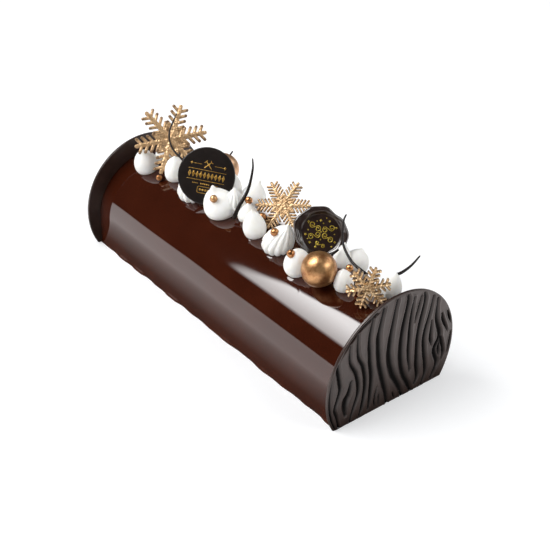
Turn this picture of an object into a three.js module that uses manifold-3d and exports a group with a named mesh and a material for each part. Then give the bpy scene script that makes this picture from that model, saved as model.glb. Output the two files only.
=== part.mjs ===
// A yule log cake: a glazed, round-topped log between two ridged chocolate end discs, with meringues,
// chocolate snowflakes, two chocolate plaques, gold balls, gold pearls and chocolate curls along its top.
// Millimetres, +Z up. X runs along the log, Y across it. The origin is under the middle of the log,
// on the surface that it stands on.
import * as THREE from 'three';
import { mergeVertices } from 'three/addons/utils/BufferGeometryUtils.js';
import Module from 'manifold-3d';

const wasm = await Module();
wasm.setup();

// Driving dimensions
const cakeLength = 250;          // over both end discs
const gap = 0.3;                 // between two pieces that touch
const logRadius = 39;            // of the round top
const logAxisHeight = 20;        // of the round top's centre line
const footHalfWidth = 40.5;      // of the glaze pooled along the foot
const footHeight = 5;
const discThickness = 2.1;
const discHalfWidth = 47.5;
const discHalfHeight = 48.3;     // of the whole oval, which is cut flat at the bottom
const discCentreHeight = 23.4;
const discRim = 1.6;             // plain border that the grooves stay inside
const discSegments = 20;
const grooveDepth = 0.9;
const pearlRadius = 2.5;

const looks = {
  glaze: { color: 0x3a160d, roughness: 0.06, metalness: 0 },
  darkChocolate: { color: 0x3d3431, roughness: 0.45, metalness: 0 },
  plaqueChocolate: { color: 0x241b19, roughness: 0.35, metalness: 0 },
  meringue: { color: 0xf4f2ec, roughness: 0.7, metalness: 0 },
  goldChocolate: { color: 0xb08a58, roughness: 0.4, metalness: 0.6 },
  goldShell: { color: 0xb07a45, roughness: 0.25, metalness: 0.9 },
};

const cake = new THREE.Group();

// ---- Solids -------------------------------------------------------------------------------------

// A closed solid for cutting, from a geometry whose shared corners are merged.
function solidOf(geometry) {
  const bare = geometry.clone();
  bare.deleteAttribute('normal');
  bare.deleteAttribute('uv');
  const merged = mergeVertices(bare, 1e-4);
  const vertProperties = new Float32Array(merged.attributes.position.array);
  const triVerts = new Uint32Array(merged.index.array);
  return new wasm.Manifold(new wasm.Mesh({ numProp: 3, vertProperties, triVerts }));
}

function geometryOf(solid) {
  const { vertProperties, triVerts } = solid.getMesh();
  const geometry = new THREE.BufferGeometry();
  geometry.setAttribute('position', new THREE.BufferAttribute(vertProperties, 3));
  geometry.setIndex(new THREE.BufferAttribute(triVerts, 1));
  geometry.computeVertexNormals();
  return geometry;
}

// The geometry less every cutter, each already in the geometry's own frame.
function cutAway(geometry, cutters) {
  let solid = solidOf(geometry);
  for (const cutter of cutters) {
    solid = solid.subtract(solidOf(cutter));
  }
  return geometryOf(solid);
}

function addPiece(name, geometry, look, place = new THREE.Matrix4()) {
  const mesh = new THREE.Mesh(geometry, new THREE.MeshStandardMaterial(looks[look]));
  mesh.name = name;
  mesh.applyMatrix4(place);
  cake.add(mesh);
  return mesh;
}

// ---- Places on the log --------------------------------------------------------------------------

const degrees = Math.PI / 180;

// Out of the glaze at an angle round the log: 0 is the ridge line, minus is the front side.
function outward(around) {
  return new THREE.Vector3(0, Math.sin(around * degrees), Math.cos(around * degrees));
}

// A point along the log, at an angle round it and at a height above its glaze.
function onLog(along, around, above = 0) {
  const point = outward(around).multiplyScalar(logRadius + above);
  return point.add(new THREE.Vector3(along, 0, logAxisHeight));
}

// Standing on the glaze: Z points out of the log and X along it.
function standingPlace(along, around, above = 0) {
  const up = outward(around);
  const forward = new THREE.Vector3(1, 0, 0);
  const side = up.clone().cross(forward);
  return new THREE.Matrix4().makeBasis(forward, side, up).setPosition(onLog(along, around, above));
}

// Facing sideways: the flat front looks out at a compass angle (facing) and a tilt upwards, and the
// piece is turned in its own plane by spin. X and Y lie in the plane, Z comes out of the front.
function facingPlace({ along, around, above, facing, tilt, spin = 0 }) {
  const front = new THREE.Vector3(
    Math.sin(facing * degrees) * Math.cos(tilt * degrees),
    -Math.cos(facing * degrees) * Math.cos(tilt * degrees),
    Math.sin(tilt * degrees),
  );
  const level = new THREE.Vector3(0, 0, 1).cross(front).normalize();
  const rise = front.clone().cross(level);
  return new THREE.Matrix4().makeBasis(level, rise, front)
    .multiply(new THREE.Matrix4().makeRotationZ(spin * degrees))
    .setPosition(onLog(along, around, above));
}

// Sections drawn in the cake's cross plane: shape x to Y, shape y to Z, extrusion to X.
const crossPlane = new THREE.Matrix4().makeBasis(
  new THREE.Vector3(0, 1, 0),
  new THREE.Vector3(0, 0, 1),
  new THREE.Vector3(1, 0, 0),
);

// ---- Log ----------------------------------------------------------------------------------------

const logSegments = 13;
const skirtOut = 0.35;           // the pooled glaze thins upwards: a share of its spread ...
const skirtUp = 0.4;             // ... is left at this share of its height

function logGeometry(grow = 0) {
  const radius = logRadius + grow;
  const foot = footHalfWidth + grow;
  const section = new THREE.Shape();
  section.moveTo(-foot, 0);
  section.lineTo(foot, 0);
  section.lineTo(radius + (foot - radius) * skirtOut, footHeight * skirtUp);
  section.lineTo(radius, footHeight);
  section.lineTo(radius, logAxisHeight);
  section.absarc(0, logAxisHeight, radius, 0, Math.PI, false);
  section.lineTo(-radius, footHeight);
  section.lineTo(-radius - (foot - radius) * skirtOut, footHeight * skirtUp);
  section.lineTo(-foot, 0);
  const length = cakeLength - 2 * (discThickness + gap);
  const geometry = new THREE.ExtrudeGeometry(section, {
    depth: length,
    bevelEnabled: false,
    curveSegments: logSegments,
  });
  return geometry.translate(0, 0, -length / 2).applyMatrix4(crossPlane);
}

// ---- End discs ----------------------------------------------------------------------------------

// Each groove runs from bottom to top through a few places, [across, up], and is widest part way.
const grooves = [
  { width: 1.7, path: [[-42.2, 4], [-45.6, 16], [-46.4, 28], [-44.2, 40]] },
  { width: 2.0, path: [[-37.8, 2], [-41.2, 15], [-39.2, 28], [-42.0, 42], [-34.6, 56], [-18.5, 65.5]] },
  { width: 2.9, path: [[-33.4, 7], [-34.2, 15], [-31.2, 27]] },
  { width: 1.8, path: [[-29.8, 2], [-25.6, 17], [-28.8, 34], [-33.8, 51]] },
  { width: 2.0, path: [[-23.0, 2], [-20.5, 17], [-23.6, 36], [-28.8, 57]] },
  { width: 2.2, path: [[-16.3, 3], [-15.9, 20], [-19.6, 42], [-19.2, 62]] },
  { width: 2.6, path: [[-2.0, 2], [-8.0, 21], [-13.4, 46], [-11.6, 67]] },
  { width: 2.9, path: [[9.0, 2], [-1.6, 24], [-4.6, 46], [-2.2, 69]] },
  { width: 2.7, path: [[16.6, 2], [6.2, 25], [4.8, 48], [5.8, 68]] },
  { width: 2.0, path: [[14.4, 15], [10.8, 34], [10.0, 52], [11.4, 66]] },
  { width: 1.4, path: [[13.2, 48.5], [16.4, 65]] },
  { width: 2.4, path: [[20.0, 5], [18.2, 28], [18.4, 48], [20.0, 65]] },
  { width: 2.1, path: [[25.4, 2], [27.2, 15], [22.9, 35], [26.8, 60]] },
  { width: 1.9, path: [[30.0, 27], [27.4, 43]] },
  { width: 2.5, path: [[32.2, 2], [36.4, 11], [33.2, 20], [35.6, 32], [30.8, 57]] },
  { width: 1.9, path: [[41.0, 13], [40.6, 21], [37.6, 29]] },
  { width: 1.5, path: [[42.6, 31], [38.4, 38], [35.6, 48]] },
];

const grooveEnd = 0.33;          // width left at both ends, as a share

// A band that follows the path and narrows towards both ends.
function grooveShape({ width, path }) {
  const line = new THREE.SplineCurve(path.map(([across, up]) => new THREE.Vector2(across, up)));
  const steps = path.length;
  const left = [];
  const right = [];
  for (let step = 0; step <= steps; step += 1) {
    const share = step / steps;
    const middle = line.getPoint(share);
    const heading = line.getTangent(share);
    const half = (width / 2) * (grooveEnd + (1 - grooveEnd) * Math.sin(Math.PI * share));
    const side = new THREE.Vector2(-heading.y, heading.x).multiplyScalar(half);
    left.push(middle.clone().add(side));
    right.unshift(middle.clone().sub(side));
  }
  return new THREE.Shape([...right, ...left]);
}

function discOutline(shrink) {
  const halfWidth = discHalfWidth - shrink;
  const halfHeight = discHalfHeight - shrink;
  const cornerAngle = Math.asin((shrink - discCentreHeight) / halfHeight);
  const outline = new THREE.Shape();
  const otherAngle = Math.PI - cornerAngle;
  outline.absellipse(0, discCentreHeight, halfWidth, halfHeight, cornerAngle, otherAngle, false, 0);
  return outline;
}

// The disc lies in X and Y with its grooved face towards +Z, its back at zero.
function discGeometry() {
  const slab = new THREE.ExtrudeGeometry(discOutline(0), {
    depth: discThickness,
    bevelEnabled: false,
    curveSegments: discSegments,
  });
  const field = new THREE.ExtrudeGeometry(discOutline(discRim), {
    depth: grooveDepth * 2,
    bevelEnabled: false,
    curveSegments: discSegments,
  });
  let face = solidOf(slab);
  for (const groove of grooves) {
    const band = new THREE.ExtrudeGeometry(grooveShape(groove), {
      depth: grooveDepth * 2,
      bevelEnabled: false,
    });
    const cut = solidOf(band).intersect(solidOf(field));
    const sunk = geometryOf(cut).translate(0, 0, discThickness - grooveDepth);
    face = face.subtract(solidOf(sunk));
  }
  return geometryOf(face);
}

// ---- Meringues ----------------------------------------------------------------------------------

// Half outline of a pointed piped drop as shares of its radius and height, from its foot to its tip.
const dropProfile = [
  [0.84, -0.03], [0.98, 0.13], [1, 0.3], [0.86, 0.5], [0.58, 0.7], [0.22, 0.9], [0, 1],
];
const widest = 0.3;              // height of the widest place, as a share
const dropSides = 10;
const rosetteSides = 20;         // two for each ridge, so that every ridge has a crest and a furrow
const ridgeDepth = 0.11;         // of a rosette's radius
const rosetteTwist = 0.5;        // radians from foot to tip
const ridgeStart = Math.PI / 2;  // puts a crest or a furrow on every corner

// How far out a drop is at a share of its height; full is 0 for a pointed drop and 1 for a dome.
function dropOut(out, up, full) {
  if (up <= widest) return out;
  const dome = Math.sqrt(Math.max(0, 1 - ((up - widest) / (1 - widest)) ** 2));
  return out + (dome - out) * full;
}

// The tip leans by [along, across] millimetres; a rosette has ridges and a slow twist.
function meringueGeometry({ radius, height, full = 0.3, lean = [0, 0], ridged = false }, grow = 0) {
  const profile = dropProfile.map(([out, up]) => {
    return new THREE.Vector2(dropOut(out, up, full) * radius, up * height);
  });
  profile.unshift(new THREE.Vector2(0, profile[0].y));
  const sides = ridged ? rosetteSides : dropSides;
  const geometry = new THREE.LatheGeometry(profile, sides).rotateX(Math.PI / 2);
  const points = geometry.attributes.position;
  const point = new THREE.Vector3();
  for (let index = 0; index < points.count; index += 1) {
    point.fromBufferAttribute(points, index);
    const share = Math.max(0, point.z / height);
    if (ridged) {
      const angle = Math.atan2(point.y, point.x);
      const wave = 1 - ridgeDepth * (0.5 - 0.5 * Math.cos((angle - ridgeStart) * sides / 2));
      point.x *= wave;
      point.y *= wave;
      point.applyAxisAngle(new THREE.Vector3(0, 0, 1), rosetteTwist * share);
    }
    const outwards = 1 + grow / radius;
    point.x = point.x * outwards + lean[0] * share * share;
    point.y = point.y * outwards + lean[1] * share * share;
    point.z += grow * (share > 0 ? share : -1);
    points.setXYZ(index, point.x, point.y, point.z);
  }
  return geometry;
}

// ---- Gold balls and pearls ----------------------------------------------------------------------

function ballGeometry(radius, grow = 0) {
  return new THREE.SphereGeometry(radius + grow, 12, 7);
}

function pearlGeometry(radius, grow = 0) {
  return new THREE.SphereGeometry(radius + grow, 8, 4);
}

// ---- Snowflakes ---------------------------------------------------------------------------------

const armCount = 6;
const barbAngle = 58 * degrees;

// One arm's right edge, from the hub outwards: [out, side] pairs round each slanted barb.
function armEdge({ reach, arm, barb, barbs, firstBarb, barbReach }, grow) {
  const along = Math.cos(barbAngle);
  const aside = Math.sin(barbAngle);
  const half = arm / 2 + grow;
  const width = barb + 2 * grow;
  const tipStart = reach - arm * 0.6;
  const pitch = (tipStart - barbReach * along - firstBarb) / (barbs - 1);
  const edge = [];
  for (let count = 0; count < barbs; count += 1) {
    const root = firstBarb + count * pitch - grow;
    const length = barbReach * (1 - 0.07 * count) + grow;
    const low = [root + length * along, half + length * aside];
    edge.push([root, half]);
    edge.push(low);
    edge.push([low[0] + width * aside, low[1] - width * along]);
    edge.push([root + width / aside, half]);
  }
  edge.push([tipStart, half]);
  edge.push([reach + grow, half * 0.45]);
  return edge;
}

// The whole flake, facing +Z, with its middle plane at zero.
function snowflakeGeometry(flake, grow = 0) {
  const outline = [];
  const hub = flake.arm / 2 / Math.tan(Math.PI / armCount);
  const crotch = hub + flake.web + grow;
  for (let count = 0; count < armCount; count += 1) {
    const angle = count * 2 * Math.PI / armCount;
    const outwards = new THREE.Vector2(Math.cos(angle), Math.sin(angle));
    const sideways = new THREE.Vector2(-outwards.y, outwards.x);
    const right = armEdge(flake, grow);
    const left = right.map(([out, side]) => [out, -side]);
    const around = [...left, ...right.reverse()];
    for (const [out, side] of around) {
      outline.push(outwards.clone().multiplyScalar(out).addScaledVector(sideways, side));
    }
    const between = angle + Math.PI / armCount;
    outline.push(new THREE.Vector2(Math.cos(between), Math.sin(between)).multiplyScalar(crotch));
  }
  const depth = flake.thickness + 2 * grow;
  const geometry = new THREE.ExtrudeGeometry(new THREE.Shape(outline), { depth, bevelEnabled: false });
  return geometry.translate(0, 0, -depth / 2);
}

// ---- Plaques ------------------------------------------------------------------------------------

const plaqueSides = 24;
const sealSides = 22;

// A thin round plaque with a rounded edge, facing +Z, its front at zero.
function roundPlaqueGeometry({ radius, thickness }, grow = 0) {
  const out = radius + grow;
  const deep = thickness + grow;
  const edge = thickness * 0.3;
  const profile = [
    [0, -deep],
    [out - edge, -deep],
    [out, edge - deep],
    [out, grow - edge],
    [out - edge, grow],
    [0, grow],
  ];
  const points = profile.map(([x, y]) => new THREE.Vector2(x, y));
  return new THREE.LatheGeometry(points, plaqueSides).rotateX(Math.PI / 2);
}

// A seal: a thick wavy rim round a sunk round field, facing +Z, the field's front at zero.
function sealPlaqueGeometry({ radius, thickness, field, rimRise, wave }, grow = 0) {
  const back = grow - thickness;
  const top = rimRise + grow;
  const profile = [
    [0, back - 2 * grow],
    [radius * 0.93 + grow, back - 2 * grow],
    [radius + grow, -thickness * 0.35],
    [radius * 0.95 + grow, top * 0.8],
    [(radius + field) / 2, top],
    [field + 0.5, rimRise * 0.6 + grow],
    [field, grow],
    [0, grow],
  ];
  const points = profile.map(([x, y]) => new THREE.Vector2(x, y));
  const geometry = new THREE.LatheGeometry(points, sealSides).rotateX(Math.PI / 2);
  const places = geometry.attributes.position;
  for (let index = 0; index < places.count; index += 1) {
    const x = places.getX(index);
    const y = places.getY(index);
    const out = Math.hypot(x, y);
    const share = Math.max(0, (out - field) / (radius - field));
    const angle = Math.atan2(y, x);
    const swell = wave * share * (Math.cos(angle * 2 + 1.4) + 0.35 * Math.cos(angle * 5 - 1.4));
    const scale = out > 0 ? (out + swell) / out : 1;
    places.setXY(index, x * scale, y * scale);
  }
  return geometry;
}

// ---- Chocolate curls ----------------------------------------------------------------------------

const curlSides = 5;
const curlSteps = 6;

// A thin round rod that follows the curve and tapers from its foot to its tip.
function curlGeometry({ path, footRadius, tipRadius }, grow = 0) {
  const line = new THREE.CatmullRomCurve3(path.map((place) => onLog(...place)));
  const rod = new THREE.CylinderGeometry(1, 1, 1, curlSides, curlSteps);
  const points = rod.attributes.position;
  const frames = line.computeFrenetFrames(curlSteps, false);
  for (let index = 0; index < points.count; index += 1) {
    const share = points.getY(index) + 0.5;
    const step = Math.round(share * curlSteps);
    const radius = THREE.MathUtils.lerp(footRadius, tipRadius, share) + grow;
    const place = line.getPointAt(share);
    place.addScaledVector(frames.tangents[step], grow * (2 * share - 1));
    place.addScaledVector(frames.normals[step], points.getX(index) * radius);
    place.addScaledVector(frames.binormals[step], -points.getZ(index) * radius);
    points.setXYZ(index, place.x, place.y, place.z);
  }
  return rod;
}

// ---- The toppings: along, around and above are a place on the log, as in onLog ------------------

const balls = [
  { name: 'gold_ball_1', radius: 10.25, along: 75.4, around: -16.3 },
  { name: 'gold_ball_2', radius: 10.8, along: -56.3, around: 20 },
];

const roundPlaque = {
  name: 'round_plaque', radius: 18.1, thickness: 2.2,
  along: -42.9, around: -5.8, above: 15.4, facing: 50, tilt: 32,
};

const sealPlaque = {
  name: 'seal_plaque', radius: 15.5, thickness: 2.2, field: 11.8, rimRise: 1.4, wave: 1.1,
  along: 54, around: 6, above: 14.9, facing: 50, tilt: 32,
};

const snowflakes = [
  {
    name: 'snowflake_1', reach: 24.5, arm: 3, barb: 1.4, barbs: 4, firstBarb: 7, barbReach: 4.9,
    web: 3.4, thickness: 1.8,
    along: -92, around: 0.6, above: 20, facing: 64, tilt: 36, spin: 8,
  },
  {
    name: 'snowflake_2', reach: 17.2, arm: 2.7, barb: 1, barbs: 5, firstBarb: 4.4, barbReach: 3.1,
    web: 2.6, thickness: 1.6,
    along: 11.8, around: 13.5, above: 13.7, facing: 36, tilt: 46, spin: 8,
  },
  {
    name: 'snowflake_3', reach: 12.3, arm: 2.6, barb: 1.3, barbs: 3, firstBarb: 4, barbReach: 2.3,
    web: 1.2, thickness: 2.6,
    along: 107.4, around: -8.3, above: 11.5, facing: 47, tilt: 8, spin: 14,
  },
];

const curls = [
  {
    name: 'curl_1', footRadius: 0.8, tipRadius: 0.35,
    path: [
      [-59.1, -2.8, 8.9], [-69.6, -5.4, 15.3], [-80.6, -5.9, 20.6],
      [-88.2, -2.5, 27.8], [-92.8, 4.8, 37.4],
    ],
  },
  {
    name: 'curl_2', footRadius: 0.85, tipRadius: 0.35,
    path: [
      [-9.3, -10.5, 1.4], [-9.4, -4.4, 7.1], [-10.5, 2.6, 16.4],
      [-14.7, 7.9, 26.9], [-19.3, 10, 32.7],
    ],
  },
  {
    name: 'curl_3', footRadius: 0.9, tipRadius: 0.4,
    path: [
      [92.5, 9, 6.4], [88.6, 7, 7.7], [79.6, 7, 9.6],
      [68.9, 9.7, 15.1], [62.1, 13.5, 24.7], [60.5, 15.6, 28.8],
    ],
  },
  {
    name: 'curl_4', footRadius: 0.85, tipRadius: 0.45,
    path: [
      [104.5, 14.4, 11.6], [106, 20.2, 13], [105.7, 27.7, 17.9],
      [104.2, 33.2, 24.8],
    ],
  },
  {
    name: 'curl_5', footRadius: 0.8, tipRadius: 0.45,
    path: [
      [-67.5, 25.7, 2.3], [-67, 29.9, 12.7], [-66, 31.8, 22.4],
    ],
  },
  {
    name: 'curl_6', footRadius: 0.8, tipRadius: 0.55,
    path: [
      [66.8, -3.3, 5], [67.4, 2.4, 8], [67.8, 8.6, 10.7],
    ],
  },
];

const pearls = [
  { name: 'pearl_1', radius: 2.1, along: -83.6, around: -21, above: 2.4 },
  { name: 'pearl_2', radius: pearlRadius, along: -21.3, around: -16.4, above: 12.4 },
  { name: 'pearl_3', radius: pearlRadius, along: -6.7, around: 0.4, above: 11.4 },
  { name: 'pearl_4', radius: 2.4, along: 9.8, around: -1.9, above: 8 },
  { name: 'pearl_5', radius: pearlRadius, along: 35, around: -12.9, above: 13.3 },
  { name: 'pearl_6', radius: pearlRadius, along: 56.3, around: -19.6, above: 13 },
  { name: 'pearl_7', radius: 2.2, along: 86.9, around: -2.3, above: 10.9 },
];

// Piped in this order, so that each one gives way to those before it.
const meringues = [
  { name: 'meringue_01', along: -102.4, around: -17.2, radius: 7.9, height: 14.2, full: 0.85 },
  { name: 'meringue_02', along: -77.7, around: -6.8, radius: 7.6, height: 14.8, full: 0.8 },
  { name: 'rosette_1', along: -51.1, around: -12.9, radius: 10, height: 16, ridged: true },
  { name: 'meringue_04', along: -23.5, around: -11.8, radius: 8.1, height: 18.3, lean: [-2, 0] },
  { name: 'meringue_07', along: 10.7, around: -11.2, radius: 7, height: 16.3, full: 0.5 },
  { name: 'rosette_3', along: 31.6, around: -10.2, radius: 9.8, height: 17.5, lean: [8, 3], ridged: true },
  { name: 'meringue_09', along: 55.8, around: -17.7, radius: 8, height: 14.6, full: 0.7, lean: [2, 1] },
  { name: 'meringue_11', along: 87.1, around: -7.7, radius: 4.9, height: 12.2, full: 0.6 },
  { name: 'meringue_14', along: 105.2, around: 1.5, radius: 5.5, height: 9.5, full: 0.7 },
  { name: 'meringue_13', along: 106.8, around: 14.9, radius: 5.9, height: 13.6, full: 0.75 },
  { name: 'meringue_10', along: 67.7, around: 14.2, radius: 5.4, height: 13, full: 0.35, lean: [-1, 0] },
  { name: 'meringue_06', along: -6.4, around: 0.1, radius: 5.3, height: 10.6, full: 0.5 },
  { name: 'rosette_2', along: -18, around: -2.5, radius: 7.3, height: 15.5, ridged: true },
  { name: 'meringue_05', along: -40, around: 15, radius: 7.4, height: 14, full: 0.6 },
  { name: 'meringue_03', along: -104, around: 5, radius: 6.8, height: 12, full: 0.6 },
  { name: 'meringue_08', along: -25.1, around: 25, radius: 8.4, height: 14.5, full: 0.8 },
  { name: 'meringue_12', along: 70.5, around: 27, radius: 7.3, height: 11.5, full: 0.85 },
  { name: 'meringue_15', along: 44, around: 24, radius: 7.6, height: 12, full: 0.7 },
];

// ---- Putting the cake together ------------------------------------------------------------------

addPiece('log', logGeometry(), 'glaze');

for (const [name, end] of [['end_disc_near', 1], ['end_disc_far', -1]]) {
  const turned = new THREE.Matrix4().makeBasis(
    new THREE.Vector3(0, end, 0),
    new THREE.Vector3(0, 0, 1),
    new THREE.Vector3(end, 0, 0),
  );
  turned.setPosition(end * (cakeLength / 2 - discThickness), 0, 0);
  addPiece(name, discGeometry(), 'darkChocolate', turned);
}

// Firm pieces go in whole. Each leaves a slightly larger copy, with its place, to press into the cream.
const presses = [];

function addFirm(name, look, place, shape) {
  addPiece(name, shape(0), look, place);
  presses.push(shape(gap).applyMatrix4(place));
}

for (const { name, radius, along, around } of balls) {
  const place = standingPlace(along, around, radius + gap);
  addFirm(name, 'goldShell', place, (grow) => ballGeometry(radius, grow));
}

const plaques = [
  { plaque: roundPlaque, shape: roundPlaqueGeometry },
  { plaque: sealPlaque, shape: sealPlaqueGeometry },
];
for (const { plaque, shape } of plaques) {
  addFirm(plaque.name, 'plaqueChocolate', facingPlace(plaque), (grow) => shape(plaque, grow));
}

for (const flake of snowflakes) {
  addFirm(flake.name, 'goldChocolate', facingPlace(flake), (grow) => snowflakeGeometry(flake, grow));
}

for (const curl of curls) {
  addFirm(curl.name, 'plaqueChocolate', new THREE.Matrix4(), (grow) => curlGeometry(curl, grow));
}

for (const { name, radius, along, around, above } of pearls) {
  const place = standingPlace(along, around, above);
  addFirm(name, 'goldShell', place, (grow) => pearlGeometry(radius, grow));
}

// A meringue gives way to the log and to every press or earlier meringue that reaches into it.
presses.push(logGeometry(gap));
for (const meringue of meringues) {
  const place = standingPlace(meringue.along, meringue.around);
  const drop = meringueGeometry(meringue);
  const box = new THREE.Box3().setFromBufferAttribute(drop.clone().applyMatrix4(place).attributes.position);
  const back = place.clone().invert();
  const reached = presses.filter((press) => {
    press.computeBoundingBox();
    return press.boundingBox.intersectsBox(box);
  });
  const cutters = reached.map((press) => press.clone().applyMatrix4(back));
  addPiece(meringue.name, cutAway(drop, cutters), 'meringue', place);
  presses.push(meringueGeometry(meringue, gap).applyMatrix4(place));
}

export default cake;
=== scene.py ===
from math import asin, cos, degrees, hypot, pi, radians, sin, tan
import bpy
import numpy as np
from mathutils import Matrix, Vector


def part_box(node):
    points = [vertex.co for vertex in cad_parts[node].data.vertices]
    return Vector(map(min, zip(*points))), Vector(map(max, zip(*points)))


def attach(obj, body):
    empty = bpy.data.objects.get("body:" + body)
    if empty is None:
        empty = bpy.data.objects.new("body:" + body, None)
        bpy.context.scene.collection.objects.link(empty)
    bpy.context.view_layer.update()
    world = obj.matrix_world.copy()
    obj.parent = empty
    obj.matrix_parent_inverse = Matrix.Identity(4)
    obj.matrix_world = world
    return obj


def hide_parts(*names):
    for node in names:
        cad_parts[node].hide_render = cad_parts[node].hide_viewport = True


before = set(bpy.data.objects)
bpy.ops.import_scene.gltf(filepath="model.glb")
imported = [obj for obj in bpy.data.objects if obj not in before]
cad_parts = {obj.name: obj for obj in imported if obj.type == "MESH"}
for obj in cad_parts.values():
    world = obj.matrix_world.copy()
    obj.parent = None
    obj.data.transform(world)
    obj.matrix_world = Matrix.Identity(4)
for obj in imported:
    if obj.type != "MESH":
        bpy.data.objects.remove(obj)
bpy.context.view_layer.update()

# A yule log cake. Shapes are worked out in millimetres, X along the log, and stored in metres.
mm = 0.001


# sRGB from 0 to 255, as a shader's linear colour
def linear(red, green, blue):
    share = np.array([red, green, blue]) / 255
    curved = np.where(share <= 0.04045, share / 12.92, ((share + 0.055) / 1.055) ** 2.4)
    return (*[float(value) for value in curved], 1.0)


# Catmull-Rom curve: each stretch is a cubic through its two knots, as steep there as the line
# between the knots on either side
def smoothCurve(knots, share):
    knots = np.asarray(knots, float)
    padded = np.vstack([2 * knots[0] - knots[1], knots, 2 * knots[-1] - knots[-2]])
    place = np.clip(share, 0, 1) * (len(knots) - 1)
    start = np.minimum(place.astype(int), len(knots) - 2)
    t = (place - start)[:, None]
    a, b, c, d = (padded[start + step] for step in range(4))
    cubic = (3 * b - a - 3 * c + d) * t**3
    return 0.5 * (2 * b + (c - a) * t + (2 * a - 5 * b + 4 * c - d) * t**2 + cubic)


# Equal angles once round
def fullTurn(count):
    return np.linspace(0, 2 * pi, count, endpoint=False)


# 0 below low, 1 above high, and an S between them
def softStep(low, high, value):
    t = np.clip((value - low) / (high - low), 0, 1)
    return t * t * (3 - 2 * t)


# A wandering value between about -1 and 1: a sum of slow sines with seeded headings and phases
def wander(seed, *places, waves=7, slowest=0.06, fastest=0.3):
    rng = np.random.default_rng(seed)
    total = 0
    for pitch in np.linspace(slowest, fastest, waves):
        heading = rng.normal(size=len(places))
        heading /= np.linalg.norm(heading)
        phase = rng.uniform(0, 2 * pi)
        total = total + np.sin(sum(h * p for h, p in zip(heading, places)) * 2 * pi * pitch + phase)
    return total / waves**0.5


# Four-sided faces between the neighbours of a grid whose points are numbered row by row
def gridFaces(rows, columns, wrap=True, first=0):
    across = np.arange(columns if wrap else columns - 1)
    row, column = np.meshgrid(np.arange(rows - 1), across, indexing="ij")
    a = first + row * columns + column
    b = first + row * columns + (column + 1) % columns
    return np.stack([a, b, b + columns, a + columns], -1).reshape(-1, 4)


# Triangles from each step of a ring to one middle point
def fanFaces(ring, middle):
    return np.stack([np.roll(ring, -1), ring, np.full_like(ring, middle)], -1)


# Rings of points stacked into a closed surface, with a fan over the first and the last ring
def closedRings(points):
    rows, columns, _ = points.shape
    count = rows * columns
    ring = np.arange(columns)
    flat = np.vstack([points.reshape(-1, 3), points[0].mean(0), points[-1].mean(0)])
    lastRing = (ring + count - columns)[::-1]
    return flat, [gridFaces(rows, columns), fanFaces(ring, count), fanFaces(lastRing, count + 1)]


# Volume inside closed faces: the sum over their triangles of corner . (corner x corner) / 6
def signedVolume(points, faces):
    total = 0.0
    for block in faces:
        corner = points[block]
        for turn in range(1, block.shape[1] - 1):
            total += np.einsum("ij,ij->", corner[:, 0], np.cross(corner[:, turn], corner[:, turn + 1]))
    return total / 6


# Several closed surfaces as one, each turned to face outward if it doesn't
def joined(parts):
    points, faces, first = [], [], 0
    for partPoints, partFaces in parts:
        if signedVolume(partPoints, partFaces) < 0:
            partFaces = [block[:, ::-1] for block in partFaces]
        points.append(partPoints)
        faces += [block + first for block in partFaces]
        first += len(partPoints)
    return np.vstack(points), faces


def newObject(name, data):
    made = bpy.data.objects.new(name, data)
    bpy.context.scene.collection.objects.link(made)
    return made


# A finished piece: points in millimetres become a smooth mesh that rides on the cake
def addPiece(name, surface, material, replaced=(), values=None):
    points, faces = joined([surface]) if isinstance(surface, tuple) else joined(surface)
    mesh = bpy.data.meshes.new(name)
    mesh.from_pydata((points * mm).tolist(), [], [face for block in faces for face in block.tolist()])
    mesh.polygons.foreach_set("use_smooth", np.ones(len(mesh.polygons), bool))
    for key, value in (values or {}).items():
        mesh.attributes.new(key, "FLOAT", "POINT").data.foreach_set("value", value.astype(np.float32))
    mesh.materials.append(material)
    mesh.update()
    piece = newObject(name, mesh)
    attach(piece, "root")
    if replaced:
        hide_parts(*replaced)
    return piece


# Places on the log

logSettings = {
    "roundTop": 39.0,          # radius of the round top, mm
    "rows": 620,               # steps along the log
}


# The low and the high corner of a CAD node, in millimetres
def boxOf(node):
    return [np.array(corner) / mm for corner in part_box(node)]


def middleOf(node):
    return sum(boxOf(node)) / 2


logLow, logHigh = boxOf("log")
logRadius = logSettings["roundTop"]
axisHeight = logHigh[2] - logRadius


# A CAD node's own points
def cadPoints(node):
    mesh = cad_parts[node].data
    flat = np.empty(len(mesh.vertices) * 3, np.float32)
    mesh.vertices.foreach_get("co", flat)
    return flat.reshape(-1, 3).astype(float) / mm


# A point at a distance along the log, an angle round it from the ridge, and a height over the glaze
def onLog(along, around, above):
    angle = np.radians(around)
    out = logRadius + above
    return np.stack(np.broadcast_arrays(along, out * np.sin(angle), axisHeight + out * np.cos(angle)), -1)


# The three directions of something that stands on the glaze: along the log, to the side, and out
def standingAxes(around):
    angle = radians(around)
    return np.array([[1, 0, 0], [0, cos(angle), -sin(angle)], [0, sin(angle), cos(angle)]])


# The three directions of something that faces out at a compass angle and an upward tilt, turned by
# spin in its own plane: to its right, up its face, and out of its face
def facingAxes(facing, tilt, spin=0):
    facing, tilt, turn = radians(facing), radians(tilt), radians(spin)
    front = np.array([sin(facing) * cos(tilt), -cos(facing) * cos(tilt), sin(tilt)])
    level = np.cross([0, 0, 1], front)
    level /= np.linalg.norm(level)
    rise = np.cross(front, level)
    return np.array([cos(turn) * level + sin(turn) * rise, cos(turn) * rise - sin(turn) * level, front])


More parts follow.
